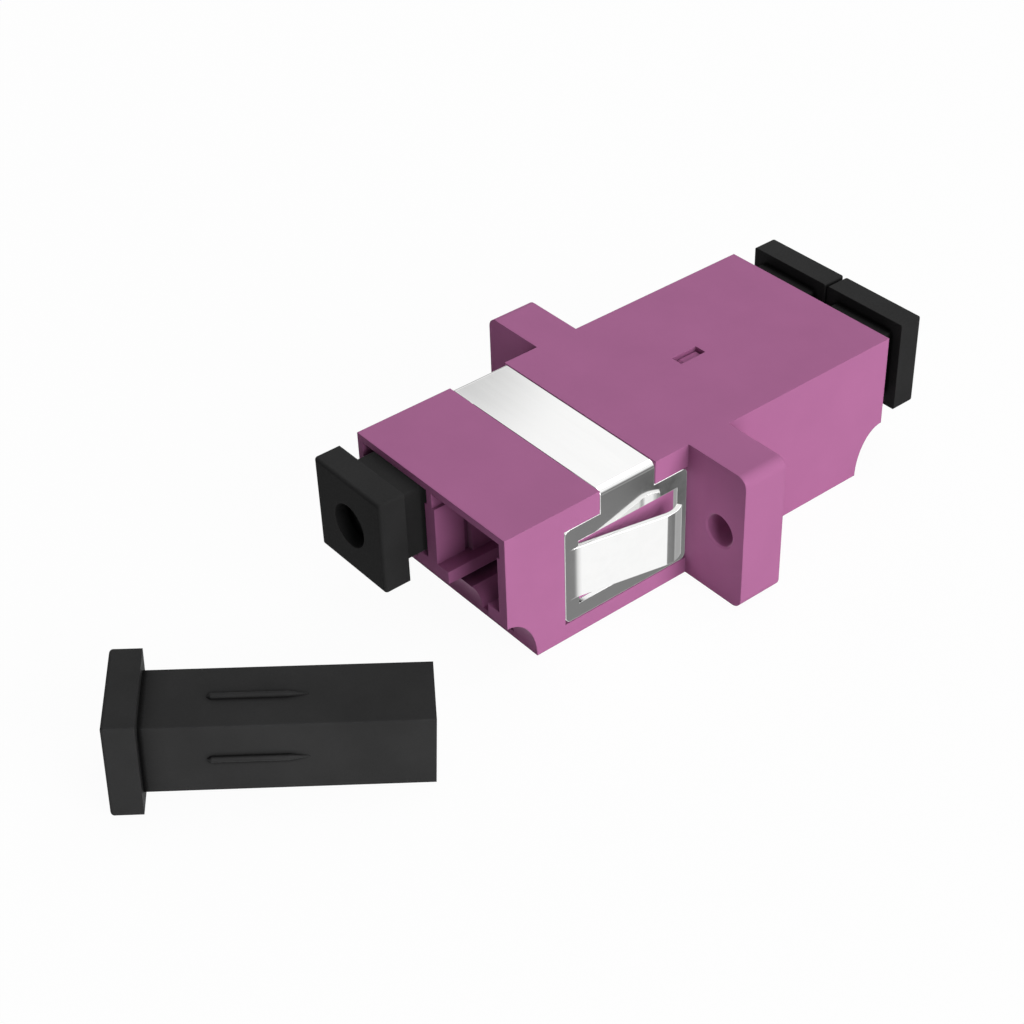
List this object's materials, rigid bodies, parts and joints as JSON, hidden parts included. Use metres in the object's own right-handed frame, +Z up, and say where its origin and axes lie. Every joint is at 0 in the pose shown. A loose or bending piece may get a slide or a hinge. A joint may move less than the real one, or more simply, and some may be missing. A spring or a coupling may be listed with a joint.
{
  "type": "duplex fibre optic adapter",
  "caption": "Violet duplex fibre optic adapter with a screw flange, a sprung steel clip and black dust plugs, and a pulled-out plug lying in front.",
  "frame": {"origin": "middle of the line through the two flange holes, half way through the flange", "axes": "+X across the flange to the right, +Y towards the rear ports, +Z up towards the side with the clip's strip"},
  "size_m": [0.022, 0.0542, 0.0091],
  "materials": {
    "violet_plastic": "moulded violet thermoplastic with a fine matte texture",
    "black_plastic": "soft black moulded plastic, matte",
    "stainless": "bright rolled stainless spring strip",
    "ceramic": "ground white zirconia ceramic"
  },
  "bodies": {
    "adapter": {"front_housing": "violet_plastic", "rear_housing": "violet_plastic", "sleeve_retainer": "violet_plastic", "split_sleeve_left": "ceramic", "split_sleeve_right": "ceramic", "mounting_clip": "stainless", "dust_plug_loose": "black_plastic"},
    "front_left_plug": {"dust_plug_front_left": "black_plastic"},
    "rear_left_plug": {"dust_plug_rear_left": "black_plastic"},
    "rear_right_plug": {"dust_plug_rear_right": "black_plastic"}
  },
  "joints": [
    {"name": "front_left_plug_slide", "type": "slide", "parent": "adapter", "child": "front_left_plug", "axis": [0, -1, 0], "range_m": [0, 0.012]},
    {"name": "rear_left_plug_slide", "type": "slide", "parent": "adapter", "child": "rear_left_plug", "axis": [0, 1, 0], "range_m": [0, 0.014]},
    {"name": "rear_right_plug_slide", "type": "slide", "parent": "adapter", "child": "rear_right_plug", "axis": [0, 1, 0], "range_m": [0, 0.014]}
  ]
}
